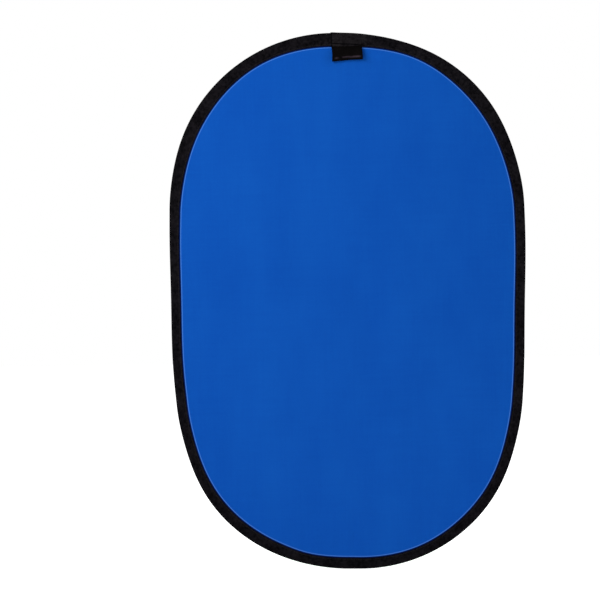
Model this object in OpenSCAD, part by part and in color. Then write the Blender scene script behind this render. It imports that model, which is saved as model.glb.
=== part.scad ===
// Oblong pop-up background panel: two cloth faces on a sprung steel hoop, with a bound rim.
// +X runs to the right across the front face, +Y through the panel to the back, +Z up.
// The origin is on the top edge of the rim, midway across it and midway through its thickness.
// Every part is drawn lying flat, its front face upwards and the top edge along y = 0,
// and is then stood upright by stand(). In that flat view z is the height towards the front.

/* [Panel] */
// Width across the shoulders, where the panel is widest
panel_w = 1000; // [980:10:1020]
// Height from the top edge to the bottom edge
panel_h = 1500; // [1440:10:1600]
// Radius of the two upper corners
shoulder_r = 480; // [470:1:480]
// Radius of the two lower corners
foot_r = 470; // [464:1:470]

/* [Rim] */
// How far the binding tape reaches in from the edge, at the sides
side_reach = 26; // [24:0.5:28]
// How far the binding tape reaches in at the top
top_reach = 34; // [32:0.5:36]
// How far the binding tape reaches in at the bottom
bottom_reach = 30; // [28:0.5:32]
// Thickness of the binding tape
tape_t = 0.8; // [0.6:0.1:0.9]
// Half the thickness of the rim over the hoop
rim_half = 6.6; // [6.6:0.1:8]

/* [Hoop] */
// Width of the spring-steel band
band_w = 10; // [8:0.5:10]
// Thickness of the spring-steel band
band_t = 1.2; // [0.8:0.1:1.2]
// Length of the crimped sleeve that joins the band's two ends
sleeve_len = 36; // [30:1:38]

/* [Cloth] */
// Thickness of each cloth face
cloth_t = 0.9; // [0.5:0.1:0.9]

/* [Fold] */
// Distance from one fold line to the next
fold_pitch = 64; // [60:1:68]

/* [Hanging loop] */
// Width of the webbing loop
loop_w = 84; // [70:1:90]
// How far the loop sits to the right of the middle
loop_at = 9; // [0:0.5:12]
// How far the loop hangs below its hinge line
loop_drop = 41.5; // [38:0.5:46]
// Thickness of the webbing
webbing_t = 1.4; // [1:0.1:1.6]

/* [Hidden] */
FOLDS = 8; // fold lines, each turning an eighth of the half turn
STRIPS = FOLDS - 1;

smooth = 180; // segments to a full circle
corner_x = panel_w / 2 - shoulder_r; // how far the corner centres stand off the middle
foot_y = foot_r - panel_h; // level of the lower corner centres
fold_middle = (foot_y - shoulder_r) / 2;
first_fold = fold_middle + (FOLDS - 1) / 2 * fold_pitch;
fold_step = 180 / FOLDS; // how far each fold line turns

web_reach = 16; // where the tape, tented over the hoop, comes down onto the cloth
edge_flat = 4.6; // flat top of the tented tape, from the edge inwards
cloth_edge = 8; // the cloth stops this far inside the rim's edge
cloth_gap = 0.1; // half the space between the two cloth faces
cloth_top = cloth_gap + cloth_t;
tape_top = cloth_top + tape_t;
fold_play = 0.4;
// Space left between neighbouring strips, so that they clear when folded
tape_fold_gap = 2 * rim_half * tan(fold_step / 2) + fold_play;
cloth_fold_gap = 2 * cloth_top * tan(fold_step / 2) + fold_play;
band_in = 2; // the band's outer face, inside the rim's edge
thread_w = 0.9;
thread_rise = 0.35;
seam_inset = 3.5; // seam line, out from the tape's inner edge
sleeve_wall = 0.6;
rivet_r = 1.5;
rivet_head_r = 2.4;
rivet_head_t = 0.5;
rivet_at = 10; // each rivet's place, either side of the middle
rivet_play = 0.05;
lap_w = 86; // how far the end of the tape laps over its start
lap_t = 0.7;
lap_reach = 28;
loop_top_r = 1.9;
loop_bottom_r = 7;
hinge_y = -top_reach - 1.5;
hinge_h = 4.3;
loop_rest_gap = 0.5; // between the hanging loop and the cloth
// A straight run starts a little inside the arc it carries on from, and is that much slimmer
seat = 0.02;
sink = 1;
loop_sink = 0.2;

// An outline is two corner circles, upper and lower, each [x, y, r], mirrored about the middle.
rim_edge = [[corner_x, -shoulder_r, shoulder_r], [corner_x, foot_y, foot_r]];
shoulder_in = 6; // the tape's inner corners stand closer to the middle than the outer ones
foot_in = 2;
tape_inner = let (
    top_x = corner_x - shoulder_in, top_r = panel_w / 2 - side_reach - top_x,
    foot_w = 2 * (corner_x + foot_r),
    low_x = corner_x - foot_in, low_r = foot_w / 2 - side_reach - low_x
  ) [[top_x, -top_reach - top_r, top_r], [low_x, low_r + bottom_reach - panel_h, low_r]];

function inset(outline, by) = [for (c = outline) [c.x, c.y, c.z - by]];
// Angle below level at which the straight side leaves both corner circles
function side_angle(o) =
  let (dx = o[0].x - o[1].x, dy = o[0].y - o[1].y)
  asin((o[0].z - o[1].z) / norm([dx, dy])) + atan2(dx, dy);

// Cross-sections are lists of [in from the edge, height], drawn slimmer by s on every side.
// A channel is tape of thickness t tented over the hoop and run flat to leg_end, both sides. It
// starts out from the rim's edge; its outer face is half_h high there and foot_h on the flat.
function channel(half_h, foot_h, t, out, leg_end, s) = let (front = [
  [s - out, half_h - s], [edge_flat + out, half_h - s], [web_reach, foot_h - s],
  [leg_end, foot_h - s], [leg_end, foot_h - t + s], [web_reach, foot_h - t + s],
  [edge_flat + out - t, half_h - t + s], [t - out - s, half_h - t + s]
]) concat(front, [for (i = [len(front) - 1 : -1 : 0]) [front[i].x, -front[i].y]]);

module stand() rotate([90, 0, 0]) children();
module both_sides() { children(); mirror([1, 0, 0]) children(); }
module front_and_back() { children(); mirror([0, 0, 1]) children(); }

// The panel is in parts, from the top: part 0 is the upper half, parts 1 to STRIPS are the
// strips between the fold lines, and part FOLDS is the lower half, drawn upside down.
module at_end(k) {
  if (k == FOLDS) mirror([0, 1, 0]) children();
  else children();
}
function end_corner(o, k) = k == FOLDS ? [o[1].x, -o[1].y, o[1].z] : o[0];
function end_lean(o, k) = (k == FOLDS ? -1 : 1) * side_angle(o);
module part_levels(k, gap) {
  reach = panel_w;
  top = k == 0 ? reach : first_fold - (k - 1) * fold_pitch - gap / 2;
  bottom = k == FOLDS ? -panel_h - reach : first_fold - k * fold_pitch + gap / 2;
  intersection() {
    children();
    translate([-reach, bottom, -rim_half - 1]) cube([2 * reach, top - bottom, 2 * rim_half + 2]);
  }
}

// A flat plate inside an outline, from part k's end of the panel to past the fold zone
module plate(o, k, t) {
  c = end_corner(o, k);
  lean = end_lean(o, k);
  run = o[0].y - o[1].y;
  at_end(k) {
    both_sides() translate([c.x, c.y]) {
      rotate_extrude(angle = 90 + lean, start = -lean, $fn = smooth) square([c.z, t]);
      rotate([0, 0, -lean]) translate([0, -run]) cube([c.z - seat, run + sink, t]);
    }
    translate([-c.x - sink, c.y - run]) cube([2 * (c.x + sink), run + c.z - seat, t]);
  }
}
module ring(outer, inner, k, t) difference() {
  plate(outer, k, t);
  translate([0, 0, -1]) plate(inner, k, t + 2);
}

// Sweeps a cross-section along the rim's edge, over the same stretch
module across(points, half_w) translate([-half_w, 0]) rotate([90, 0, 90])
  linear_extrude(2 * half_w) polygon([for (p = points) [-p.x, p.y]]);
module sweep(section, k) {
  c = end_corner(rim_edge, k);
  lean = end_lean(rim_edge, k);
  run = rim_edge[0].y - rim_edge[1].y;
  at_end(k) {
    both_sides() translate([c.x, c.y]) {
      rotate_extrude(angle = 90 + lean, start = -lean, $fn = smooth)
        polygon([for (p = section(0)) [c.z - p.x, p.y]]);
      rotate([0, 0, -lean]) translate([c.z, sink]) rotate([90, 0, 0])
        linear_extrude(run + sink) polygon([for (p = section(seat)) [-p.x, p.y]]);
    }
    translate([0, c.y + c.z]) across(section(seat), c.x + sink);
  }
}

// Tape folded over the hoop and down onto both cloth faces
module binding(k) color([0.045, 0.042, 0.048]) stand() part_levels(k, tape_fold_gap) union() {
  sweep(function (s) channel(rim_half, tape_top, tape_t, 0, web_reach + 1, s), k);
  front_and_back() translate([0, 0, cloth_top])
    ring(inset(rim_edge, web_reach + 0.5), tape_inner, k, tape_t);
}

module cloth(k) stand() part_levels(k, cloth_fold_gap)
  translate([0, 0, cloth_gap]) plate(inset(rim_edge, cloth_edge), k, cloth_t);
module blue_cloth(k) color([0.05, 0.31, 0.69]) cloth(k);
module green_cloth(k) color([0.02, 0.68, 0.38]) mirror([0, 1, 0]) cloth(k);

function band_section(s) = let (out = band_in + s, in = band_in + band_t - s, h = band_w / 2 - s)
  [[out, -h], [in, -h], [in, h], [out, h]];
module steel_band(k) color([0.55, 0.56, 0.58]) stand() difference() {
  part_levels(k, tape_fold_gap) sweep(function (s) band_section(s), k);
  if (k == FOLDS) {
    at_band_rivets() rivet_hole();
    translate([-0.5, -panel_h, -band_w]) cube([1, 2 * band_in + band_t, 2 * band_w]);
  }
}

// Lockstitch seam through both cloths, one thread line on each face
module edge_stitching(k) color([0.16, 0.16, 0.17]) stand() part_levels(k, tape_fold_gap)
  front_and_back() translate([0, 0, tape_top]) ring(
    inset(tape_inner, -seam_inset - thread_w / 2), inset(tape_inner, thread_w / 2 - seam_inset),
    k, thread_rise);

// Draws its children at each rivet of the band's joint, pointing inwards from the bottom edge
module at_band_rivets() for (side = [-1, 1])
  translate([side * rivet_at, band_in - panel_h, 0]) rotate([-90, 0, 0]) children();
module rivet_hole() translate([0, 0, -2 * sleeve_wall])
  cylinder(h = band_t + 4 * sleeve_wall, r = rivet_r + rivet_play, $fn = smooth);
// Flat steel tube crimped and riveted over the band's two ends
module band_joint_sleeve() color([0.62, 0.63, 0.65]) stand() difference() {
  translate([-sleeve_len / 2, band_in - sleeve_wall - panel_h, -band_w / 2 - sleeve_wall])
    cube([sleeve_len, band_t + 2 * sleeve_wall, band_w + 2 * sleeve_wall]);
  translate([-sleeve_len, band_in - panel_h, -band_w / 2]) cube([2 * sleeve_len, band_t, band_w]);
  at_band_rivets() rivet_hole();
}
module band_joint_rivets() color([0.75, 0.75, 0.76]) stand() at_band_rivets() {
  shank = band_t + 2 * sleeve_wall;
  translate([0, 0, -sleeve_wall]) cylinder(h = shank, r = rivet_r, $fn = smooth);
  for (head = [-sleeve_wall - rivet_head_t, shank - sleeve_wall])
    translate([0, 0, head]) cylinder(h = rivet_head_t, r = rivet_head_r, $fn = smooth);
}

// The end of the tape, lapped over its start at the middle of the top edge
module binding_lap_end() color([0.06, 0.055, 0.06]) stand() intersection() {
  sweep(function (s) channel(rim_half + lap_t, tape_top + lap_t, lap_t, lap_t, lap_reach, s), 0);
  translate([loop_at - lap_w / 2, -3 * lap_reach, -20]) cube([lap_w, 4 * lap_reach, 40]);
}

module lap_end_stitches() color([0.16, 0.16, 0.17]) stand() front_and_back()
  translate([loop_at + 3.5 - lap_w / 2, 1 - lap_reach, tape_top + lap_t])
    cube([thread_w, lap_reach - web_reach - 3, thread_rise]);

// A ring of webbing seen from its end, narrow at the hinge and swelling to a round bottom
module loop_ring() {
  drop = loop_drop - loop_bottom_r;
  forward = loop_bottom_r + loop_rest_gap + cloth_top - hinge_h;
  run = norm([drop, forward]);
  splay = asin((loop_bottom_r - loop_top_r) / run);
  inner_r = loop_top_r - webbing_t;
  rotate([0, 0, atan2(forward, drop)]) {
    rotate_extrude(angle = 180 - 2 * splay, start = splay, $fn = smooth)
      translate([inner_r, 0]) square([webbing_t, loop_w]);
    both_sides() rotate([0, 0, splay])
      translate([inner_r + seat, -run * cos(splay) - loop_sink])
      cube([webbing_t - 2 * seat, run * cos(splay) + 2 * loop_sink, loop_w]);
    translate([0, -run]) rotate_extrude(angle = 180 + 2 * splay, start = 180 - splay, $fn = smooth)
      translate([loop_bottom_r - webbing_t, 0]) square([webbing_t, loop_w]);
  }
}
module hanging_loop() color([0.03, 0.03, 0.032])
  translate([loop_at - loop_w / 2, -hinge_h, hinge_y]) rotate([90, 0, 90]) mirror([1, 0, 0]) loop_ring();

module hanging_loop_bar_tacks() color([0.16, 0.16, 0.17]) stand() translate([loop_at, 0])
  both_sides() translate([loop_w / 2 - 12, 0.1 - top_reach, tape_top]) cube([10, 1.5, thread_rise]);

binding(0);  // binding_upper
binding(FOLDS);  // binding_lower
blue_cloth(0);  // blue_cloth_upper
blue_cloth(FOLDS);  // blue_cloth_lower
green_cloth(0);  // green_cloth_upper
green_cloth(FOLDS);  // green_cloth_lower
steel_band(0);  // steel_band_upper
steel_band(FOLDS);  // steel_band_lower
edge_stitching(0);  // edge_stitching_upper
edge_stitching(FOLDS);  // edge_stitching_lower
band_joint_sleeve();
band_joint_rivets();
binding_lap_end();
lap_end_stitches();
hanging_loop();
hanging_loop_bar_tacks();
for (k = [1 : STRIPS]) {
  binding(k);
  blue_cloth(k);
  green_cloth(k);
  steel_band(k);
  edge_stitching(k);
}
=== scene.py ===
import math

import bpy
import numpy as np
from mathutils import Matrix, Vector


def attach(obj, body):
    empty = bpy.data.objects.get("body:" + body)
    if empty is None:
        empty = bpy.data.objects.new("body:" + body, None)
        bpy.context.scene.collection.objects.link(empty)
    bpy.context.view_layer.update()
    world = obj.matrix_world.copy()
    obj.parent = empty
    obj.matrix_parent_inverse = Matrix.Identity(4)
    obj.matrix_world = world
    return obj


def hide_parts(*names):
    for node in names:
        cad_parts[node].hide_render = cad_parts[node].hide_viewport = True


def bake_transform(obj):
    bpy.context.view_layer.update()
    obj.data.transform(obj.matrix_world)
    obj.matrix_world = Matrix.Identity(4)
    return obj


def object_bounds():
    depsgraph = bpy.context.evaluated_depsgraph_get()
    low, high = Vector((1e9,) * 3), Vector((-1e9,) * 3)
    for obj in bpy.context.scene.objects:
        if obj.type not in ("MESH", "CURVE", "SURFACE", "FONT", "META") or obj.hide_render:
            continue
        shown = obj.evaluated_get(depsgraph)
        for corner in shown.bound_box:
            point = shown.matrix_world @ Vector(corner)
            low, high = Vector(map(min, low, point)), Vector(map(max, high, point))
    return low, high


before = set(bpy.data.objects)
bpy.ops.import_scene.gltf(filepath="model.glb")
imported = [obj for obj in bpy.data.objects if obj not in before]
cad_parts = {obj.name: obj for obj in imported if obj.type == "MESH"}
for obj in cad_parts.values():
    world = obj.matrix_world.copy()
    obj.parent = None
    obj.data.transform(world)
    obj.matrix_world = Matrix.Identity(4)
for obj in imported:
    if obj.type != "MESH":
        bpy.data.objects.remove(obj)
cad_low, cad_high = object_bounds()

# ---------------------------------------------------------------- sizes
# Lengths in this part are millimetres, in the panel's own frame: x across, y through to the
# back, z up, with the origin on the top edge of the rim. Meshes are made in metres.
MM = 0.001
FOLDS = 8
FIRST_FOLD = -531.0
FOLD_PITCH = 64.0
CUTS = [FIRST_FOLD - FOLD_PITCH * (k + 0.5) for k in range(FOLDS - 1)]  # between the fold lines

# An outline is an upper and a lower corner circle, each (x, z, radius), mirrored about x = 0
RIM = ((20.0, -480.0, 480.0), (20.0, -1030.0, 470.0))
TAPE_INNER = ((14.0, -494.0, 460.0), (18.0, -1024.0, 446.0))
CLOTH_EDGE = 8.0  # each cloth stops this far inside the rim's edge
SHOULDER, FOOT = RIM
LEAN = -math.asin((SHOULDER[2] - FOOT[2]) / (SHOULDER[1] - FOOT[1]))
LOOP_AT, LOOP_HALF = 9.0, 42.5  # the hanging loop's middle across the panel, and half its width
LAP_START, LAP_END = -35.0, 69.0  # the tape's lapped end, round the rim from the top middle
ARC_OVERLAP = 20.0  # how far past its centre's level a corner circle may still set the edge


def smooth(lo, hi, x):
    """0 to 1 as x goes from lo to hi, easing in and out."""
    t = np.clip((np.asarray(x, float) - lo) / (hi - lo), 0, 1)
    return t * t * (3 - 2 * t)


def edge_in(outline, x, z):
    """How far a point lies inside an outline, less than 0 outside it."""
    (x1, z1, r1), (x2, z2, r2) = outline
    lean = -math.asin((r1 - r2) / math.hypot(z1 - z2, x1 - x2)) - math.atan2(x1 - x2, z1 - z2)
    ax = np.abs(x)
    up = np.arctan2(z - z1, ax - x1) > lean
    down = np.arctan2(z - z2, ax - x2) < lean
    side = r1 - ((ax - x1) * math.cos(lean) + (z - z1) * math.sin(lean))
    ends = np.minimum(z1 + r1 - z, z - (z2 - r2))
    return np.where(
        (ax > x1) & up & (z > z1 - ARC_OVERLAP), r1 - np.hypot(ax - x1, z - z1),
        np.where((ax > x2) & down & (z < z2 + ARC_OVERLAP), r2 - np.hypot(ax - x2, z - z2),
                 np.where(ax <= np.where(z > (z1 + z2) / 2, x1, x2), np.minimum(side, ends),
                          side)))


# ---------------------------------------------------------------- the rim's path
# The sprung hoop isn't a true oblong: it cuts in at its four corners and bows out between them,
# and the tape over it is sewn wide in some places and narrow in others. Each bow is its middle,
# in degrees round from +x past the top, its height and its spread, in degrees.
PANEL_MIDDLE = -750.0
HOOP_BOWS = [(15, 3, 15), (40, -6, 12), (80, -4, 10), (110, 5, 20), (145, -6, 12), (195, 3, 15),
             (220, -10, 12), (260, -2, 10), (285, 4, 20), (320, -10, 12)]
TAPE_WIDER = [(55, 3, 15), (75, -6, 10), (90, 3, 10), (110, -3, 10), (135, 4, 15), (260, -3, 5),
              (285, -3, 10)]


def bow_at(bows, x, z):
    """The height of a list of bows at a point, seen from the panel's middle."""
    seen_at = np.degrees(np.arctan2(z - PANEL_MIDDLE, x))
    height = np.zeros_like(seen_at)
    for middle, tall, spread in bows:
        apart = (seen_at - middle + 180) % 360 - 180
        height += tall * np.exp(-(apart / spread) ** 2)
    return height


ARC_1 = SHOULDER[2] * (math.pi / 2 - LEAN)
RUN = math.sqrt((SHOULDER[1] - FOOT[1]) ** 2 - (SHOULDER[2] - FOOT[2]) ** 2)
ARC_2 = FOOT[2] * (math.pi / 2 + LEAN)
HALF_ROUND = SHOULDER[0] + ARC_1 + RUN + ARC_2 + FOOT[0]
ROUND = 2 * HALF_ROUND


def rim_at(s):
    """Point on the rim's edge and outward direction, s round from the top middle past +x."""
    s = np.mod(np.asarray(s, float), ROUND)
    left = s > HALF_ROUND
    d = np.where(left, ROUND - s, s)
    a1, a2 = SHOULDER[0], SHOULDER[0] + ARC_1
    a3, a4 = a2 + RUN, a2 + RUN + ARC_2
    angle = np.where(d < a1, math.pi / 2,
                     np.where(d < a2, math.pi / 2 - (d - a1) / SHOULDER[2],
                              np.where(d < a3, LEAN,
                                       np.where(d < a4, LEAN - (d - a3) / FOOT[2],
                                                -math.pi / 2))))
    upper = d < a3
    cx = np.where(upper, SHOULDER[0], FOOT[0])
    cz = np.where(upper, SHOULDER[1], FOOT[1])
    r = np.where(upper, SHOULDER[2], FOOT[2])
    x, z = cx + r * np.cos(angle), cz + r * np.sin(angle)
    x = np.where(d < a1, d, np.where(d > a4, HALF_ROUND - d, x))
    run = np.where((d >= a2) & (d < a3), d - a2, 0)
    x, z = x + run * math.sin(LEAN), z - run * math.cos(LEAN)
    side = np.where(left, -1, 1)
    return np.stack([x * side, z], -1), np.stack([np.cos(angle) * side, np.sin(angle)], -1)


def way_down_to(z):
    """How far round the rim, from the top middle, a level on the straight side is."""
    start = SHOULDER[1] + SHOULDER[2] * math.sin(LEAN)
    return SHOULDER[0] + ARC_1 + (start - z) / math.cos(LEAN)


def stretches(k):
    """The stretches of rim that belong to fold zone k, as (from, to) round the rim."""
    if k == 0:
        return [(-way_down_to(CUTS[0]), way_down_to(CUTS[0]))]
    if k == FOLDS - 1:
        return [(way_down_to(CUTS[-1]), ROUND - way_down_to(CUTS[-1]))]
    a, b = way_down_to(CUTS[k - 1]), way_down_to(CUTS[k])
    return [(a, b), (ROUND - b, ROUND - a)]


def reach_at(s):
    """Width of the tape over each face, from the rim's edge to its inner edge."""
    point, out = rim_at(s)
    lo, hi = np.full(len(point), 15.0), np.full(len(point), 45.0)
    for _ in range(30):  # halves the range each time
        mid = (lo + hi) / 2
        inside = edge_in(TAPE_INNER, *(point - out * mid[:, None]).T) > 0
        lo, hi = np.where(inside, lo, mid), np.where(inside, mid, hi)
    return (lo + hi) / 2 + bow_at(TAPE_WIDER, *point.T)


def ripple(s, shortest, longest, waves, seed):
    """A small random wave along the rim that closes on itself, between about -1 and 1."""
    own = np.random.default_rng(seed)
    total = np.zeros_like(s, dtype=float)
    for _ in range(waves):
        count = round(ROUND / own.uniform(shortest, longest))
        total += own.uniform(0.5, 1) * np.sin(2 * math.pi * count * s / ROUND + own.uniform(0, 7))
    return total / math.sqrt(waves)


def bowed(points):
    """Moves points, in metres, with the hoop's own bows, fading out towards the middle."""
    points = np.asarray(points, float).copy()
    x, z = points[:, 0] / MM, points[:, 2] / MM
    out_x = edge_in(RIM, x - 0.5, z) - edge_in(RIM, x + 0.5, z)
    out_z = edge_in(RIM, x, z - 0.5) - edge_in(RIM, x, z + 0.5)
    amount = bow_at(HOOP_BOWS, x, z) * smooth(320, 30, edge_in(RIM, x, z))
    points[:, 0] += out_x * amount * MM
    points[:, 2] += out_z * amount * MM
    return points


# ---------------------------------------------------------------- meshes
CREASE = math.radians(35)  # edges turned further than this stay sharp


def new_piece(name, points, faces, finish, coords=None):
    """A mesh object with the hoop's bows and one finish. coords is its "along" map."""
    mesh = bpy.data.meshes.new(name)
    mesh.from_pydata([tuple(p) for p in bowed(points)], [],
                     [tuple(int(i) for i in f) for f in faces])
    if coords is not None:
        layer = mesh.uv_layers.new(name="along")
        loops = np.zeros(len(mesh.loops), int)
        mesh.loops.foreach_get("vertex_index", loops)
        layer.data.foreach_set("uv", np.asarray(coords, float)[loops].ravel())
    mesh.validate()
    piece = bpy.data.objects.new(name, mesh)
    bpy.context.collection.objects.link(piece)
    alone(piece)
    bpy.ops.object.shade_smooth_by_angle(angle=CREASE)
    piece.data.materials.append(finish)
    return piece


def quads(rows, columns, closed=False):
    """Faces of a grid of points, joined round across the columns where closed."""
    here = np.arange(rows - 1)[:, None] * columns
    c = np.arange(columns if closed else columns - 1)[None]
    n = (c + 1) % columns
    return np.stack([here + c, here + n, here + columns + n, here + columns + c],
                    -1).reshape(-1, 4)


def alone(piece):
    """Makes a piece the only one selected, and the active one."""
    bpy.ops.object.select_all(action="DESELECT")
    piece.select_set(True)
    bpy.context.view_layer.objects.active = piece


def apply_modifiers(piece):
    alone(piece)
    for modifier in list(piece.modifiers):
        bpy.ops.object.modifier_apply(modifier=modifier.name)


# ---------------------------------------------------------------- shader maths
def srgb(r, g, b):
    """A linear colour from 0-255 display values."""
    return tuple((v / 255 / 12.92 if v <= 10 else ((v / 255 + 0.055) / 1.055) ** 2.4)
                 for v in (r, g, b)) + (1.0,)


class Wire:
    """One output of a shader node, for use in expressions."""

    def __init__(self, finish, socket):
        self.finish, self.socket = finish, socket

    def maths(self, kind, *terms):
        return self.finish.node("ShaderNodeMath", {"operation": kind}, dict(enumerate(terms)))

    def __add__(self, other): return self.maths("ADD", self, other)
    def __radd__(self, other): return self.maths("ADD", other, self)
    def __sub__(self, other): return self.maths("SUBTRACT", self, other)
    def __rsub__(self, other): return self.maths("SUBTRACT", other, self)
    def __mul__(self, other): return self.maths("MULTIPLY", self, other)
    def __rmul__(self, other): return self.maths("MULTIPLY", other, self)
    def sin(self): return self.maths("SINE", self)
    def abs(self): return self.maths("ABSOLUTE", self)

    def between(self, lo, hi, to_lo=0.0, to_hi=1.0):
        """Rescales smoothly from lo..hi to to_lo..to_hi."""
        return self.finish.node("ShaderNodeMapRange", {"interpolation_type": "SMOOTHSTEP"},
                                {"Value": self, "From Min": lo, "From Max": hi,
                                 "To Min": to_lo, "To Max": to_hi})


class Finish:
    """A material, built up from nodes on one Principled shader."""

    def __init__(self, name, **constants):
        self.material = bpy.data.materials.new(name)
        self.material.use_nodes = True
        self.nodes = self.material.node_tree.nodes
        self.links = self.material.node_tree.links
        self.shader = self.nodes["Principled BSDF"]
        for socket, value in constants.items():
            self.shader.inputs[socket.replace("_", " ")].default_value = value

    def node(self, kind, settings=None, inputs=None, out=0):
        """Adds a node with its settings, then the values or wires of its inputs."""
        made = self.nodes.new(kind)
        for key, value in (settings or {}).items():
            setattr(made, key, value)
        for key, value in (inputs or {}).items():
            if isinstance(value, Wire):
                self.links.new(value.socket, made.inputs[key])
            else:
                made.inputs[key].default_value = value
        return Wire(self, made.outputs[out])

    def place(self, source="Object", scale=(1, 1, 1)):
        """Where the point is, in metres, on the object or on one of its maps."""
        if source == "Object":
            spot = self.node("ShaderNodeTexCoord", out="Object")
        else:
            spot = self.node("ShaderNodeUVMap", {"uv_map": source})
        return self.node("ShaderNodeMapping", inputs={"Vector": spot, "Scale": scale})

    def axes(self, source="Object"):
        """The point's three coordinates, in metres."""
        spot = self.place(source)
        split = self.nodes.new("ShaderNodeSeparateXYZ")
        self.links.new(spot.socket, split.inputs[0])
        return [Wire(self, o) for o in split.outputs]

    def noise(self, size, detail=2.0, rough=0.5, stretch=(1, 1, 1)):
        """Soft noise of a size in metres, from 0 to 1."""
        return self.node("ShaderNodeTexNoise", inputs={
            "Vector": self.place(scale=tuple(v / size for v in stretch)), "Scale": 1.0,
            "Detail": detail, "Roughness": rough})

    def mix(self, amount, a, b):
        """Colour a turning into colour b as the amount goes from 0 to 1."""
        return self.node("ShaderNodeMix", {"data_type": "RGBA"}, {0: amount, 6: a, 7: b}, out=2)

    def feed(self, socket, wire):
        self.links.new(wire.socket, self.shader.inputs[socket])

    def bump(self, height, depth, strength):
        """Raises the surface by height times depth, in metres."""
        self.feed("Normal", self.node("ShaderNodeBump", inputs={
            "Height": height, "Distance": depth, "Strength": strength}))


def weave(finish, across, along, pitch):
    """Plain-weave relief of a thread pitch, from about 0 to 1."""
    wave_1, wave_2 = (across * (math.pi / pitch)).sin(), (along * (math.pi / pitch)).sin()
    return (wave_1 * wave_1 * 0.5) + (wave_2 * wave_2 * 0.5) + wave_1 * wave_2 * 0.25


# ---------------------------------------------------------------- finishes
BLACK = srgb(2, 2, 3)
TAPE_ROW_IN = 0.0338  # the sewn row over the loop, in metres round the tape from its fold
TURN_HIGHLIGHT_AT = 0.0670  # where the webbing turns back on itself, in metres along it


def cloth_finish(name, colour, deep, pale, shade):
    """Dyed, stretched polyester: fine plain weave, faint slubs and a slightly uneven dye. A pale
    line a few millimetres in from the tape's edge is a painted highlight, and a dark band right at
    the tape's edge is painted shadow."""
    f = Finish(name, Specular_IOR_Level=0.03, Sheen_Weight=0.015, Sheen_Roughness=0.5)
    x, _, z = f.axes()
    bare = f.axes("along")[0]
    threads = weave(f, x, z, 0.0011)
    upright, level = f.noise(0.005, stretch=(1, 1, 0.03)), f.noise(0.005, stretch=(0.03, 1, 1))
    slubs = upright * 0.5 + level * 0.5
    cloud = f.noise(0.15, 3.0, 0.55, stretch=(1, 1, 0.5))
    fleck = f.noise(0.007, 3.0, 0.6)
    tone = (cloud - 0.5) * 0.55 + (slubs - 0.5) * 0.4 + (fleck - 0.5) * 0.3 + 0.55
    dyed = f.mix(tone.between(0.0, 1.0), deep, colour)
    dyed = f.mix((1 - threads) * 0.06, dyed, deep)
    # painted highlight: a pale line on the cloth a few millimetres in from the tape's edge, in the
    # pale colour
    highlight_line = bare.between(0.0032, 0.0045) * bare.between(0.0047, 0.0067, 1.0, 0.0)
    dyed = f.mix(highlight_line * 0.7, dyed, pale)
    # painted shadow: a dark band on the cloth right at the tape's inner edge, in the shade colour
    f.feed("Base Color", f.mix(bare.between(0.0022, 0.0040, 0.95, 0.0), dyed, shade))
    f.feed("Roughness", fleck.between(0.2, 0.8, 0.8, 0.93))
    f.bump(threads * 0.7 + slubs * 0.6 + fleck * 0.5, 0.0002, 0.5)
    return f.material


def tape_finish(name, colour, pale, end_shade_at=None, row_shade_at=None):
    """Black binding tape: cross ribs and a lengthways twill, worn a little on its flat parts.
    Painted shade makes it blackest round the fold, along a turned end's edge and in a sewn row,
    where those are given."""
    f = Finish(name, Specular_IOR_Level=0.006)
    along, over, _ = f.axes("along")
    ribs = (along * (2 * math.pi / 0.0016)).sin() * 0.5 + 0.5
    twill = ((along + over) * (2 * math.pi / 0.0027)).sin() * 0.5 + 0.5
    lint = f.noise(0.0035, 3.0, 0.65)
    worn = f.noise(0.05, 3.0, 0.6)
    mottle = f.noise(0.009, 2.0, 0.7)
    tone = (lint - 0.5) * 0.7 + (worn - 0.5) * 0.8 + (mottle - 0.5) * 1.1 + 0.45
    tint = f.mix(tone.between(0.0, 1.0), colour, pale)
    # painted shade: the tape is turned black round its fold at the rim's outer edge
    tint = f.mix(over.abs().between(0.0075, 0.0098, 0.85, 0.0), tint, BLACK)
    # painted shade: a black line along the lapped end's turned edge
    if end_shade_at is not None:
        tint = f.mix((along - end_shade_at).between(0.0022, 0.0048, 0.9, 0.0), tint, BLACK)
    # painted shade: a black line in the groove of the sewn row over the loop
    if row_shade_at is not None:
        tint = f.mix((over + row_shade_at).abs().between(0.0008, 0.0024, 0.9, 0.0), tint, BLACK)
    f.feed("Base Color", tint)
    f.feed("Roughness", (worn * 0.5 + lint * 0.5).between(0.25, 0.75, 0.58, 0.78))
    f.bump(ribs * 0.6 + twill * 0.4 + lint * 0.6 + mottle * 2.0, 0.00028, 0.6)
    return f.material


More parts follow.
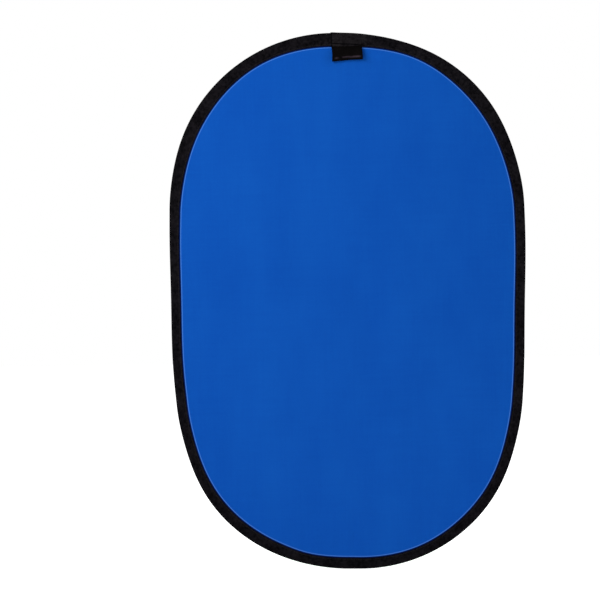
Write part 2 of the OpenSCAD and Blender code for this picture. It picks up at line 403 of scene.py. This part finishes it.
def webbing_finish(name, colour, pale, turn_highlight):
    """Black herringbone webbing, with a painted highlight in patches where it turns back on
    itself.
    """
    f = Finish(name, Specular_IOR_Level=0.012)
    along, over, _ = f.axes("along")
    zigzag = (over * (math.pi / 0.007)).sin().abs() * 0.006
    cord = ((along + zigzag) * (2 * math.pi / 0.0021)).sin() * 0.5 + 0.5
    lint = f.noise(0.003, 3.0, 0.6)
    worn = f.noise(0.03, 2.0, 0.6)
    tone = (lint - 0.5) * 0.6 + (worn - 0.5) * 0.8 + cord * 0.2 + 0.3
    tint = f.mix(tone.between(0.1, 0.95), colour, pale)
    # painted highlight: paler patches across the webbing's turn, fading out towards its edges
    fold = (along - TURN_HIGHLIGHT_AT).abs().between(0.0008, 0.0036, 1.0, 0.0) * worn.between(0.35, 0.6)
    fold = fold * over.abs().between(0.030, 0.0405, 0.65, 0.0)
    f.feed("Base Color", f.mix(fold, tint, turn_highlight))
    f.feed("Roughness", lint.between(0.2, 0.8, 0.5, 0.7))
    f.bump(cord * 0.8 + lint * 0.5, 0.0004, 0.7)
    return f.material


def thread_finish(name, colour, pale):
    """Twisted polyester thread, with a little light caught on its strands."""
    f = Finish(name, Specular_IOR_Level=0.1)
    twist = f.noise(0.0009, 2.0, 0.6)
    f.feed("Base Color", f.mix(twist.between(0.25, 0.75), colour, pale))
    f.feed("Roughness", twist.between(0.2, 0.8, 0.42, 0.6))
    f.bump(twist, 0.00015, 0.5)
    return f.material


def steel_finish(name, colour, dark, rough, brushed=(1, 1, 1)):
    """Steel with a rolled or pressed surface and a thin film of oil."""
    f = Finish(name, Metallic=1.0)
    grain = f.noise(0.0016, 3.0, 0.6, stretch=brushed)
    stain = f.noise(0.02, 3.0, 0.6)
    f.feed("Base Color", f.mix(stain.between(0.35, 0.8), colour, dark))
    f.feed("Roughness", (grain * 0.6 + stain * 0.4).between(0.2, 0.8, rough - 0.08, rough + 0.12))
    f.bump(grain, 0.00006, 0.5)
    return f.material


# each cloth's last two colours are its painted highlight line and its painted shadow at the tape's
# edge
blue_dye = cloth_finish("blue_polyester", srgb(9, 71, 151), srgb(2, 56, 137),
                        srgb(66, 112, 184), srgb(1, 3, 42))
green_dye = cloth_finish("green_polyester", srgb(1, 160, 89), srgb(1, 144, 76),
                         srgb(50, 178, 116), srgb(1, 30, 16))
tape_black = tape_finish("black_binding_tape", srgb(2, 2, 3), srgb(22, 20, 23))
# the lapped end's colours are a paler copy of the tape's, a painted highlight on the raised end
tape_black_end = tape_finish("black_tape_end", srgb(5, 4, 5), srgb(28, 26, 28),
                             LAP_START * MM, TAPE_ROW_IN)
# the webbing's last colour is its painted highlight at the turn
webbing_black = webbing_finish("black_webbing", srgb(4, 3, 3), srgb(11, 9, 9),
                               srgb(58, 48, 56))
thread_black = thread_finish("black_thread", srgb(12, 11, 12), srgb(30, 28, 31))
band_steel = steel_finish("spring_steel", srgb(150, 152, 156), srgb(96, 98, 104), 0.32,
                          (1, 4, 1))
sleeve_steel = steel_finish("crimped_sleeve_steel", srgb(168, 168, 166), srgb(120, 118, 114), 0.42,
                            (0.2, 2, 2))
rivet_steel = steel_finish("rivet_steel", srgb(176, 174, 170), srgb(110, 106, 100), 0.3)


# ---------------------------------------------------------------- the two cloth faces
# Hollows beside the loop's tacks, each as x, z, how wide across and how deep
TUGS = [(-33, -72, 20, 3.5), (83, -68, 18, 2.7)]
TUG_TALL = 17
PUCKERS_FROM = -740.0  # the puckers run out to the rim from this level
CLOTH_COLUMNS, CORNER_ROWS = 150, 118
UPPER_ROWS, STRIP_ROWS, LOWER_ROWS = 12, 11, 15  # rows on each zone's straight sides
CLOTH_OUT, CLOTH_IN = 0.95, 0.45  # a cloth's outer and inner faces, off the panel's middle


def slack(x, z):
    """How far the stretched cloth stands off flat, towards the back."""
    inside = edge_in(TAPE_INNER, x, z)
    waves = np.zeros_like(x)
    own = np.random.default_rng(7)
    for _ in range(14):
        length = own.uniform(170, 420)
        turn = own.uniform(-0.75, 0.75)
        waves += own.uniform(0.25, 0.75) * np.sin(
            2 * math.pi * (x * math.cos(turn) + z * math.sin(turn)) / length + own.uniform(0, 7))
    puckers = np.zeros_like(x)
    turn = np.arctan2(z - PUCKERS_FROM, np.abs(x) * 1.5) * np.sign(x + 1e-9)
    for _ in range(8):
        count = round(own.uniform(26, 62))
        puckers += own.uniform(0.4, 1) * np.sin(count * turn + own.uniform(0, 7))
    tug = np.zeros_like(x)
    for at, down, width, depth in TUGS:
        tug += depth * np.exp(-(((x - at) / width) ** 2 + ((z - down) / TUG_TALL) ** 2))
    return (waves * 0.42 * smooth(4, 150, inside)
            + puckers * 0.16 * smooth(2, 18, inside) * (1 - smooth(25, 120, inside))
            + tug * smooth(1, 14, inside))


def cloth_half_width(z):
    """Half the cloth's width at a level."""
    (x1, z1, r1), (x2, z2, r2) = RIM
    r1, r2 = r1 - CLOTH_EDGE, r2 - CLOTH_EDGE
    upper = x1 + np.sqrt(np.maximum(r1 ** 2 - (z - z1) ** 2, 0))
    lower = x2 + np.sqrt(np.maximum(r2 ** 2 - (z - z2) ** 2, 0))
    side = x1 + (r1 - (z - z1) * math.sin(LEAN)) / math.cos(LEAN)
    return np.where(z > z1 + r1 * math.sin(LEAN), upper,
                    np.where(z < z2 + r2 * math.sin(LEAN), lower, side))


def cloth_levels(k):
    """Levels of one zone's rows of cloth, from the top down."""
    (_, z1, r1), (_, z2, r2) = RIM
    top_r, foot_r = r1 - CLOTH_EDGE, r2 - CLOTH_EDGE
    if k == 0:
        bends = z1 + top_r * np.sin(np.linspace(math.pi / 2, LEAN, CORNER_ROWS))
        return np.concatenate([bends, np.linspace(bends[-1], CUTS[0], UPPER_ROWS)[1:]])
    if k == FOLDS - 1:
        bends = z2 + foot_r * np.sin(np.linspace(LEAN, -math.pi / 2, CORNER_ROWS))
        return np.concatenate([np.linspace(CUTS[-1], bends[0], LOWER_ROWS)[:-1], bends])
    return np.linspace(CUTS[k - 1], CUTS[k], STRIP_ROWS)


def cloth_piece(name, k, facing, finish):
    """One zone of a cloth face, with its flat width and height and its flat area. facing is -1
    for the front face and 1 for the back one."""
    levels = cloth_levels(k)
    half = cloth_half_width(levels)
    x = np.linspace(-1, 1, CLOTH_COLUMNS)[None] * half[:, None]
    z = levels[:, None] + 0 * x
    off = slack(x, z)
    layers = [np.stack([x, off + facing * at, z], -1).reshape(-1, 3) * MM
              for at in (CLOTH_OUT, CLOTH_IN)]
    rows, count = len(x), x.size
    outer = quads(rows, CLOTH_COLUMNS)
    inner = outer[:, ::-1] + count
    rim = np.concatenate([np.arange(CLOTH_COLUMNS),
                          np.arange(1, rows) * CLOTH_COLUMNS + CLOTH_COLUMNS - 1,
                          (rows - 1) * CLOTH_COLUMNS + np.arange(CLOTH_COLUMNS - 2, -1, -1),
                          np.arange(rows - 2, 0, -1) * CLOTH_COLUMNS])
    after = np.roll(rim, -1)
    hem = np.stack([after, rim, rim + count, after + count], -1)
    faces = np.concatenate([outer, inner, hem])
    if facing < 0:
        faces = faces[:, ::-1]
    bare = (edge_in(TAPE_INNER, x, z) - bow_at(TAPE_WIDER, x, z)).reshape(-1, 1) * MM
    piece = new_piece(name, np.concatenate(layers), faces, finish,
                      np.tile(np.concatenate([bare, 0 * bare], 1), (2, 1)))
    area = float(np.sum((half[1:] + half[:-1]) * -np.diff(levels))) * MM * MM
    flat = (float(2 * half.max()) * MM, float(levels[0] - levels[-1]) * MM)
    return piece, flat, area


# ---------------------------------------------------------------- tape, hoop and thread
# In a cross-section, u is how far in from the rim's edge a point is, and y how far from the
# panel's middle. The tape goes round the hoop and then slopes down to the cloth.
TAPE_FOLD = [(0, 0), (0.05, 2.2), (0.25, 4.0), (0.85, 5.4), (1.9, 6.2), (3.6, 6.6)]
TAPE_SLOPE = [(5.3, 6.35), (7.5, 5.6), (10, 4.55), (12.5, 3.45), (15, 2.5), (17, 2.05), (19, 1.9)]
SEAM_IN, SEAM_LEVEL = 3.5, 1.62  # the seam's row, in from the tape's inner edge, and its depth
BAND = [(2.0, 4.6), (2.35, 5.0), (2.85, 5.0), (3.2, 4.6)]
BAND_GAP = 0.5  # half the gap between the band's two ends
TAPE_STEP, LAP_STEP, BAND_STEP = 4.6, 2.6, 9  # how far apart the sections round the rim are
LIFTED_DOWN_TO = -60  # the front tape is lifted over the loop only above this level


def tape_tent(reach):
    """The tape's front half in cross-section: outer face from the rim inwards, then the inner."""
    outer = TAPE_FOLD + TAPE_SLOPE + [
        (reach - 6, 1.88), (reach - 4.5, 1.8), (reach - SEAM_IN, SEAM_LEVEL), (reach - 2.5, 1.8),
        (reach - 1.2, 1.95), (reach - 0.3, 1.9), (reach, 1.65)]
    inner = [(reach, 1.15), (reach - 1.2, 1.03), (20, 1.03), (17, 1.12), (14.5, 1.9),
             (10, 3.75), (6, 5.45), (4, 5.85), (2.5, 5.65), (1.3, 5.0), (0.85, 3.0), (0.8, 0)]
    return outer, inner


def over_loop(x, u, y):
    """Lifts the front tape over the sewn-in ends of the hanging loop."""
    wide = smooth(LOOP_HALF + 9, LOOP_HALF + 1, np.abs(x - LOOP_AT))
    lift = np.interp(u, [9, 14, 20, 28, 60], [0, 1.6, 2.75, 3.15, 3.2])
    return y + wide * lift * smooth(10, 26, u)


def tape_face(s, u, y, side):
    """Place of a point of tape: s round the rim, u in from the edge, y out from the middle."""
    point, out = rim_at(s)
    shape_s = ripple(s, 16, 42, 9, 11 if side < 0 else 12)
    gather = ripple(s, 9, 20, 9, 21 if side < 0 else 22)
    inner = smooth(14, 24, u)
    y = y + (0.24 * shape_s * smooth(4, 12, u) + 0.2 * gather * inner) * smooth(0.6, 1.6, y)
    u = u + 0.22 * ripple(s, 30, 90, 6, 31) * smooth(18, 26, u)
    x = point[:, 0] - out[:, 0] * u
    if side < 0:
        y = np.where(point[:, 1] > LIFTED_DOWN_TO, over_loop(x, u, y), y)
    return np.stack([x, side * y, point[:, 1] - out[:, 1] * u], -1)


def stations(a, b, step):
    """Even places from a to b, about a step apart."""
    return np.linspace(a, b, max(3, int(round((b - a) / step)) + 1))


def section_run(s, section, place, map_across):
    """The sides of a closed section run along the rim, as points, faces, coordinates and how
    many points go round it. section lists, for each side of the panel, its u and y."""
    rows, coords = [], []
    for side, points in section:
        for u, y in points:
            rows.append(place(s, u, y, side))
            coords.append(np.stack([s * MM, map_across(u, y) * side * MM + 0 * s], -1))
    ring = len(rows)
    faces = [tuple(f) for f in quads(len(s), ring, closed=True)]
    return np.stack(rows, 1).reshape(-1, 3) * MM, faces, np.stack(coords, 1).reshape(-1, 2), ring


def joined(parts):
    """Several runs as one list of points, faces and coordinates."""
    points, faces, coords, base = [], [], [], 0
    for p, f, c in parts:
        points.append(p)
        coords.append(c)
        faces += [tuple(i + base for i in face) for face in f]
        base += len(p)
    return np.concatenate(points), faces, np.concatenate(coords)


def tape_piece(k):
    """One zone of the binding tape, folded over the hoop and both cloths' edges."""
    parts = []
    for a, b in stretches(k):
        s = stations(a, b, TAPE_STEP)
        reach = reach_at(s)
        outer, inner = tape_tent(reach)
        full = [(u + 0 * s, y + 0 * s) for u, y in outer]
        lining = [(u + 0 * s, y + 0 * s) for u, y in inner]
        # front outer, front inner, back inner, back outer, all from a fold to a fold
        section = [(-1, full[::-1]), (1, full[1:]), (1, lining[:-1]), (-1, lining[::-1])]
        parts.append(tape_ring(s, section))
    points, faces, coords = joined(parts)
    return new_piece(f"edge_tape_{k + 1}", points, faces, tape_black, coords)


def tape_ring(s, section):
    """The folded tape's closed section, with its ends capped between its two faces."""
    points, faces, coords, ring = section_run(s, section, tape_face, lambda u, y: y + u)
    half = len(section[0][1]) + len(section[1][1])
    last = (len(s) - 1) * ring
    outer = list(range(half))
    inner = list(range(ring - 1, half - 1, -1))
    at = [i * (len(inner) - 1) / (half - 1) for i in outer]
    for i in range(half - 1):
        p, q = inner[round(at[i])], inner[round(at[i + 1])]
        cap = (i, i + 1, q, p) if p != q else (i, i + 1, q)
        faces.append(cap)
        faces.append(tuple(last + v for v in reversed(cap)))
    return points, faces, coords


def hoop_spot(s, u, y, side):
    """Place of a point of the steel hoop."""
    point, out = rim_at(s)
    return np.stack([point[:, 0] - out[:, 0] * u, side * y, point[:, 1] - out[:, 1] * u], -1)


def band_run(s):
    """A length of the steel band with its two ends closed."""
    evened = [(np.full_like(s, u), np.full_like(s, y)) for u, y in BAND]
    points, faces, coords, ring = section_run(s, [(-1, evened), (1, evened[::-1])], hoop_spot,
                                              lambda u, y: u)
    last = (len(s) - 1) * ring
    for i in range(ring // 2 - 1):
        j = ring - 1 - i
        faces.append((i, i + 1, j - 1, j))
        faces.append((last + j, last + j - 1, last + i + 1, last + i))
    return points, faces, coords


def band_piece(k):
    """The coiled steel hoop: a flat band with rolled edges, butted at the bottom middle."""
    parts = []
    for a, b in stretches(k):
        lengths = [(a, HALF_ROUND - BAND_GAP), (HALF_ROUND + BAND_GAP, b)]
        for c, d in lengths if k == FOLDS - 1 else [(a, b)]:
            parts.append(band_run(stations(c, d, BAND_STEP)))
    points, faces, coords = joined(parts)
    return new_piece(f"sprung_hoop_{k + 1}", points, faces, band_steel, coords)


def model_stitch(name, length, thick):
    """One stitch, in metres, arched so that both ends sink into the tape. It lies along x."""
    bpy.ops.object.select_all(action="DESELECT")
    bpy.ops.mesh.primitive_cylinder_add(vertices=6, radius=thick / 2, depth=length,
                                        rotation=(0, math.pi / 2, 0))
    stitch = bpy.context.object
    stitch.name = name
    bpy.ops.object.transform_apply(location=True, rotation=True, scale=True)
    bpy.ops.object.mode_set(mode="EDIT")
    for at in (-0.22, 0.22):
        bpy.ops.mesh.select_all(action="SELECT")
        bpy.ops.mesh.bisect(plane_co=(at * length, 0, 0), plane_no=(1, 0, 0))
    bpy.ops.object.mode_set(mode="OBJECT")
    for vertex in stitch.data.vertices:
        along = abs(vertex.co.x) / (length / 2)
        vertex.co.y *= 1.25 - 0.45 * along
        vertex.co.z = vertex.co.z * (1 - 0.35 * along) - thick * 0.75 * along ** 2
    points = np.array([v.co for v in stitch.data.vertices])
    faces = [tuple(p.vertices) for p in stitch.data.polygons]
    bpy.data.objects.remove(stitch, do_unlink=True)
    return points, faces


def laid_stitches(name, stitch, at, along, up):
    """Copies of one stitch, each at a place, along a direction and standing up from a face."""
    points, faces = stitch
    across = np.cross(up, along)
    frames = np.stack([along, across, up], -1)
    cloud = (np.einsum("nij,mj->nmi", frames, points) + at[:, None]).reshape(-1, 3)
    many = [tuple(i + n * len(points) for i in f) for n in range(len(at)) for f in faces]
    return new_piece(name, cloud, many, thread_black)


def standing(here, ahead, side):
    """The direction from each stitch's place to a point ahead, and up off the tape's face."""
    way = ahead - here
    way /= np.linalg.norm(way, axis=1)[:, None]
    up = np.tile([0.0, side, 0.0], (len(here), 1))
    up -= way * np.sum(up * way, 1)[:, None]
    up /= np.linalg.norm(up, axis=1)[:, None]
    return way, up


STITCH_PITCH = 5.0
STEP_AHEAD = 1.5  # how far on the point lies that gives a stitch its direction
SEAM_LIFT, END_LIFT, TACK_LIFT = 0.34, 0.2, 0.15  # how far stitches stand off the tape
STITCH = model_stitch("lockstitch", 0.0041, 0.0010)


def seam_piece(k):
    """One zone of the seam, with a row of lockstitches on each face."""
    spots, ways, ups = [], [], []
    for a, b in stretches(k):
        count = max(1, int(round((b - a) / STITCH_PITCH)))
        s = a + (np.arange(count) + 0.5) * (b - a) / count
        u = reach_at(s) - SEAM_IN
        y = np.full_like(s, SEAM_LEVEL)
        for side in (-1, 1):
            here = tape_face(s, u, y, side)
            way, up = standing(here, tape_face(s + STEP_AHEAD, u, y, side), side)
            spots.append((here + up * SEAM_LIFT) * MM)
            ways.append(way)
            ups.append(up)
    return laid_stitches(f"edge_seam_{k + 1}", STITCH, np.concatenate(spots),
                         np.concatenate(ways), np.concatenate(ups))


# ---------------------------------------------------------------- each fold zone's pieces
for k in range(FOLDS):
    hoop, tape, seam = band_piece(k), tape_piece(k), seam_piece(k)
    blue, flat, area = cloth_piece(f"blue_face_{k + 1}", k, -1, blue_dye)
    green, _, _ = cloth_piece(f"green_face_{k + 1}", k, 1, green_dye)
    for piece, part, slot in ((hoop, "steel_band", "spring_steel"),
                              (tape, "binding", "binding"),
                              (seam, "edge_stitching", "thread"),
                              (blue, "blue_cloth", "blue_cloth"),
                              (green, "green_cloth", "green_cloth")):
        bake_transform(piece)
        stood_for = [f"{part}_{'upper' if k == 0 else f'strip_{k}'}"]
        if k == FOLDS - 1:
            stood_for.append(f"{part}_lower")
        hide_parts(*stood_for)


# ---------------------------------------------------------------- the tape's lapped end
LAP_GAP = 0.04  # between the lapped end's inner face and the tape under it
END_ROWS = [LAP_START + 4.0, LAP_START + 7.2]


def lap_height(x):
    """How far the lapped end of the tape stands off the tape under it: most at its own edge."""
    return np.interp(x, [LAP_START, LAP_START + 3, LAP_START + 16, LOOP_AT, LAP_END],
                     [1.75, 1.9, 1.35, 1.15, 0.12])


def lap_piece():
    """The tape's end, folded over its start: the same section, standing off it all round."""
    s = stations(LAP_START, LAP_END, LAP_STEP)
    reach = reach_at(s) + 1.2 + 0.5 * np.sin(s / 17)
    outer, _ = tape_tent(reach)
    normal = []
    for i, (u, y) in enumerate(outer):
        u0, y0 = outer[max(i - 1, 0)]
        u1, y1 = outer[min(i + 1, len(outer) - 1)]
        du, dy = (u1 - u0) + 0 * s, (y1 - y0) + 0 * s
        if i == 0:
            du, dy = 0 * s, 1 + 0 * s
        size = np.hypot(du, dy)
        normal.append((-dy / size, du / size))
    tall = lap_height(s)
    away = [(u + n[0] * tall, y + n[1] * tall) for (u, y), n in zip(outer, normal)]
    close = [(u + n[0] * LAP_GAP, y + n[1] * LAP_GAP) for (u, y), n in zip(outer, normal)]
    section = [(-1, away[::-1]), (1, away[1:]), (1, close[::-1]), (-1, close[1:])]
    points, faces, coords = tape_ring(s, section)
    return new_piece("tape_lapped_end", points, faces, tape_black_end, coords)


lap = lap_piece()
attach(lap, "upper_half")
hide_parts("binding_lap_end")


def lap_stitches():
    """Two short rows on each face, which hold the lapped end down."""
    spots, ways, ups = [], [], []
    u = np.arange(10.0, 31.0, 3.6)
    for side in (-1, 1):
        for row in END_ROWS:
            s = np.full_like(u, row)
            here, ahead = (tape_face(s, at, np.interp(at, *zip(*TAPE_SLOPE)) + lap_height(s), side)
                           for at in (u, u + STEP_AHEAD))
            way, up = standing(here, ahead, side)
            spots.append((here + up * END_LIFT) * MM)
            ways.append(way)
            ups.append(up)
    return laid_stitches("tape_end_stitches", model_stitch("end_stitch", 0.0030, 0.0010),
                         np.concatenate(spots), np.concatenate(ways), np.concatenate(ups))


ends_sewn = lap_stitches()
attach(ends_sewn, "upper_half")
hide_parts("lap_end_stitches")


# ---------------------------------------------------------------- hanging loop
TURN_AT, TURN_RADIUS = (-8.5, -70.0), 6.4  # the turn at the loop's bottom, as (y, z)
LOOP_WIDTHWAYS_CUTS = 27
WEBBING_THICK, WEBBING_EDGE = 1.15, 0.35


def loop_path():
    """The webbing's middle line from the side, as (y, z): back tail, loop, front tail."""
    points = [(-2.05, -24.5), (-2.1, -30.0), (-2.35, -33.5), (-2.9, -36.5),
              (-2.75, -40.0), (-2.35, -46.0), (-2.1, -52.0), (-2.0, -58.0), (-2.0, -64.0)]
    for degrees in range(0, -181, -12):
        a = math.radians(degrees)
        points.append((TURN_AT[0] + TURN_RADIUS * math.cos(a),
                       TURN_AT[1] + TURN_RADIUS * math.sin(a)))
    points += [(-14.5, -64.0), (-13.4, -58.0), (-11.9, -52.0), (-9.9, -46.0), (-7.6, -41.0),
               (-5.9, -37.8), (-4.6, -35.2), (-3.75, -33.0), (-3.5, -29.0), (-3.45, -24.5)]
    return points


def webbing_loop():
    """The loop: one edge of a plane, pushed along the path, wrinkled and given its thickness."""
    path = loop_path()
    tail_y, tail_z = path[0][0] * MM, path[0][1] * MM
    bpy.ops.object.select_all(action="DESELECT")
    bpy.ops.mesh.primitive_plane_add(size=1, location=(0, tail_y, tail_z))
    strap = bpy.context.object
    strap.name = "webbing_loop"
    bpy.ops.object.transform_apply(location=True, rotation=True, scale=True)
    # one edge of the plane is kept, laid at the end of the tail and cut into even steps
    bpy.ops.object.mode_set(mode="EDIT")
    bpy.ops.mesh.select_all(action="DESELECT")
    bpy.ops.mesh.select_mode(type="VERT")
    bpy.ops.object.mode_set(mode="OBJECT")
    for vertex in strap.data.vertices:
        vertex.select = vertex.co.y > tail_y
    bpy.ops.object.mode_set(mode="EDIT")
    bpy.ops.mesh.delete(type="VERT")
    bpy.ops.mesh.select_all(action="SELECT")
    bpy.ops.transform.translate(value=(0, 0.5, 0))
    bpy.ops.transform.resize(value=(2 * LOOP_HALF * MM, 1, 1),
                             center_override=(0, tail_y, tail_z))
    bpy.ops.mesh.subdivide(number_cuts=LOOP_WIDTHWAYS_CUTS)
    for (y0, z0), (y1, z1) in zip(path, path[1:]):
        bpy.ops.mesh.extrude_region_move(
            TRANSFORM_OT_translate={"value": (0, (y1 - y0) * MM, (z1 - z0) * MM)})
    bpy.ops.mesh.select_all(action="SELECT")
    bpy.ops.mesh.normals_make_consistent(inside=False)
    bpy.ops.object.mode_set(mode="OBJECT")

    steps = [math.dist(a, b) for a, b in zip(path, path[1:])]
    lengths = np.concatenate([[0], np.cumsum(steps)])
    co = np.array([v.co for v in strap.data.vertices]) / MM
    nearest = np.argmin(np.linalg.norm(co[:, None, 1:] - np.array(path)[None], axis=2), axis=1)
    along = lengths[nearest]
    share = along / lengths[-1]
    x = co[:, 0].copy()
    free = smooth(-36, -60, co[:, 2])
    co[:, 2] += free * (x / LOOP_HALF) * 2.3 + free * 0.5 * np.sin(x / 13 + 1.1)
    co[:, 1] += free * (0.8 * np.sin(x / 21 + 3 * share) - 0.9 * (x / LOOP_HALF))
    co[:, 0] -= free * 0.9 * np.sin(share * 9) * np.sign(x) * smooth(30, 42, np.abs(x))
    co[:, 0] += LOOP_AT + free * 2.0
    for vertex, spot in zip(strap.data.vertices, co * MM):
        vertex.co = spot
    strap.data.uv_layers.remove(strap.data.uv_layers[0])  # the plane's own map
    layer = strap.data.uv_layers.new(name="along")
    for loop in strap.data.loops:
        v = loop.vertex_index
        layer.data[loop.index].uv = (along[v] * MM, x[v] * MM)
    thick = strap.modifiers.new("thick", "SOLIDIFY")
    thick.thickness, thick.offset = WEBBING_THICK * MM, 0
    edges = strap.modifiers.new("edges", "BEVEL")
    edges.width, edges.segments, edges.limit_method = WEBBING_EDGE * MM, 2, "ANGLE"
    apply_modifiers(strap)
    bpy.ops.object.shade_smooth_by_angle(angle=math.radians(50))
    strap.data.materials.clear()
    strap.data.materials.append(webbing_black)
    return strap


strap = webbing_loop()
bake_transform(strap)
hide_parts("hanging_loop")


TACK_FROM, TACK_LEVEL = 30.2, -32.2  # each tack's inner end, off the loop's middle
TACK_STITCHES, TACK_PITCH = 15, 0.68


def bar_tacks():
    """Dense bars of zigzag thread at each side of the loop, through the lifted tape."""
    spots, ways = [], []
    for side in (-1, 1):
        for i in range(TACK_STITCHES):
            zig = 1 if i % 2 else -1
            x = LOOP_AT + side * (TACK_FROM + i * TACK_PITCH)
            z = TACK_LEVEL + 0.35 * zig
            y = tape_face(np.array([x]), np.array([-z]), np.array([1.9]), -1)[0][1]
            spots.append((x, y - TACK_LIFT, z))
            ways.append((0.25 * zig, 0, 1))
    way = np.array(ways) / np.linalg.norm(ways, axis=1)[:, None]
    up = np.tile([0.0, -1.0, 0.0], (len(spots), 1))
    return laid_stitches("loop_bar_tacks", model_stitch("bar_stitch", 0.0046, 0.0009),
                         np.array(spots) * MM, way, up)


tacks = bar_tacks()
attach(tacks, "upper_half")
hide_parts("hanging_loop_bar_tacks")

# ---------------------------------------------------------------- finishes of the kept metal
for node, finish in (("band_joint_sleeve", sleeve_steel), ("band_joint_rivets", rivet_steel)):
    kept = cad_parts[node]
    kept.data.materials.clear()
    kept.data.materials.append(finish)


# ---------------------------------------------------------------- floor, light and camera
scene = bpy.context.scene
bottom = cad_low.z - 2 * MM  # the hoop's bow reaches just below the plain outline

bpy.ops.object.select_all(action="DESELECT")
bpy.ops.mesh.primitive_plane_add(size=40, location=(0, 0, bottom))
floor = bpy.context.object
floor.name = "studio_floor"
paper = Finish("pale_paper", Roughness=0.9, Specular_IOR_Level=0.1, Emission_Strength=0.8,
               Emission_Color=(1, 1, 1, 1))
grain = paper.noise(0.4, 3.0)
paper.feed("Base Color", paper.mix(grain, (0.90, 0.90, 0.90, 1), (0.93, 0.93, 0.93, 1)))
floor.data.materials.append(paper.material)

world = bpy.data.worlds.new("studio")
world.use_nodes = True
shell = world.node_tree
dim = shell.nodes["Background"]
dim.inputs["Color"].default_value, dim.inputs["Strength"].default_value = (1, 1, 1, 1), 0.52
seen = shell.nodes.new("ShaderNodeBackground")
seen.inputs["Color"].default_value, seen.inputs["Strength"].default_value = (1, 1, 1, 1), 1.0
ray, choice = shell.nodes.new("ShaderNodeLightPath"), shell.nodes.new("ShaderNodeMixShader")
shell.links.new(ray.outputs["Is Camera Ray"], choice.inputs[0])
shell.links.new(dim.outputs[0], choice.inputs[1])
shell.links.new(seen.outputs[0], choice.inputs[2])
shell.links.new(choice.outputs[0], shell.nodes["World Output"].inputs[0])
scene.world = world
scene.view_settings.view_transform = "Standard"


def soft_light(name, place, target, size, power):
    """A softbox in metres and watts, turned to face its target."""
    lamp = bpy.data.lights.new(name, "AREA")
    lamp.shape, lamp.size, lamp.size_y, lamp.energy = "RECTANGLE", size[0], size[1], power
    light = bpy.data.objects.new(name, lamp)
    scene.collection.objects.link(light)
    light.location = place
    light.rotation_euler = (Vector(target) - Vector(place)).to_track_quat("-Z", "Y").to_euler()


soft_light("key_softbox", (-1.5, -2.0, 0.7), (-0.1, 0, -0.5), (1.3, 1.3), 62)
soft_light("back_softbox", (1.6, 2.4, 1.0), (0, 0, -0.7), (1.6, 1.6), 60)

lens = bpy.data.cameras.new("camera")
camera = bpy.data.objects.new("camera", lens)
scene.collection.objects.link(camera)
# how far off the camera stands, how wide it sees at the panel, in metres, and how it is tilted
DISTANCE, FIELD, ROLL = 6.0, 1.6828, math.radians(1.066)
SENSOR = 36
lens.sensor_width = SENSOR
lens.lens = SENSOR * DISTANCE / FIELD
camera.location = (-0.1346, -DISTANCE, -0.7457)
camera.rotation_euler = (math.radians(90), ROLL, 0)
scene.camera = camera
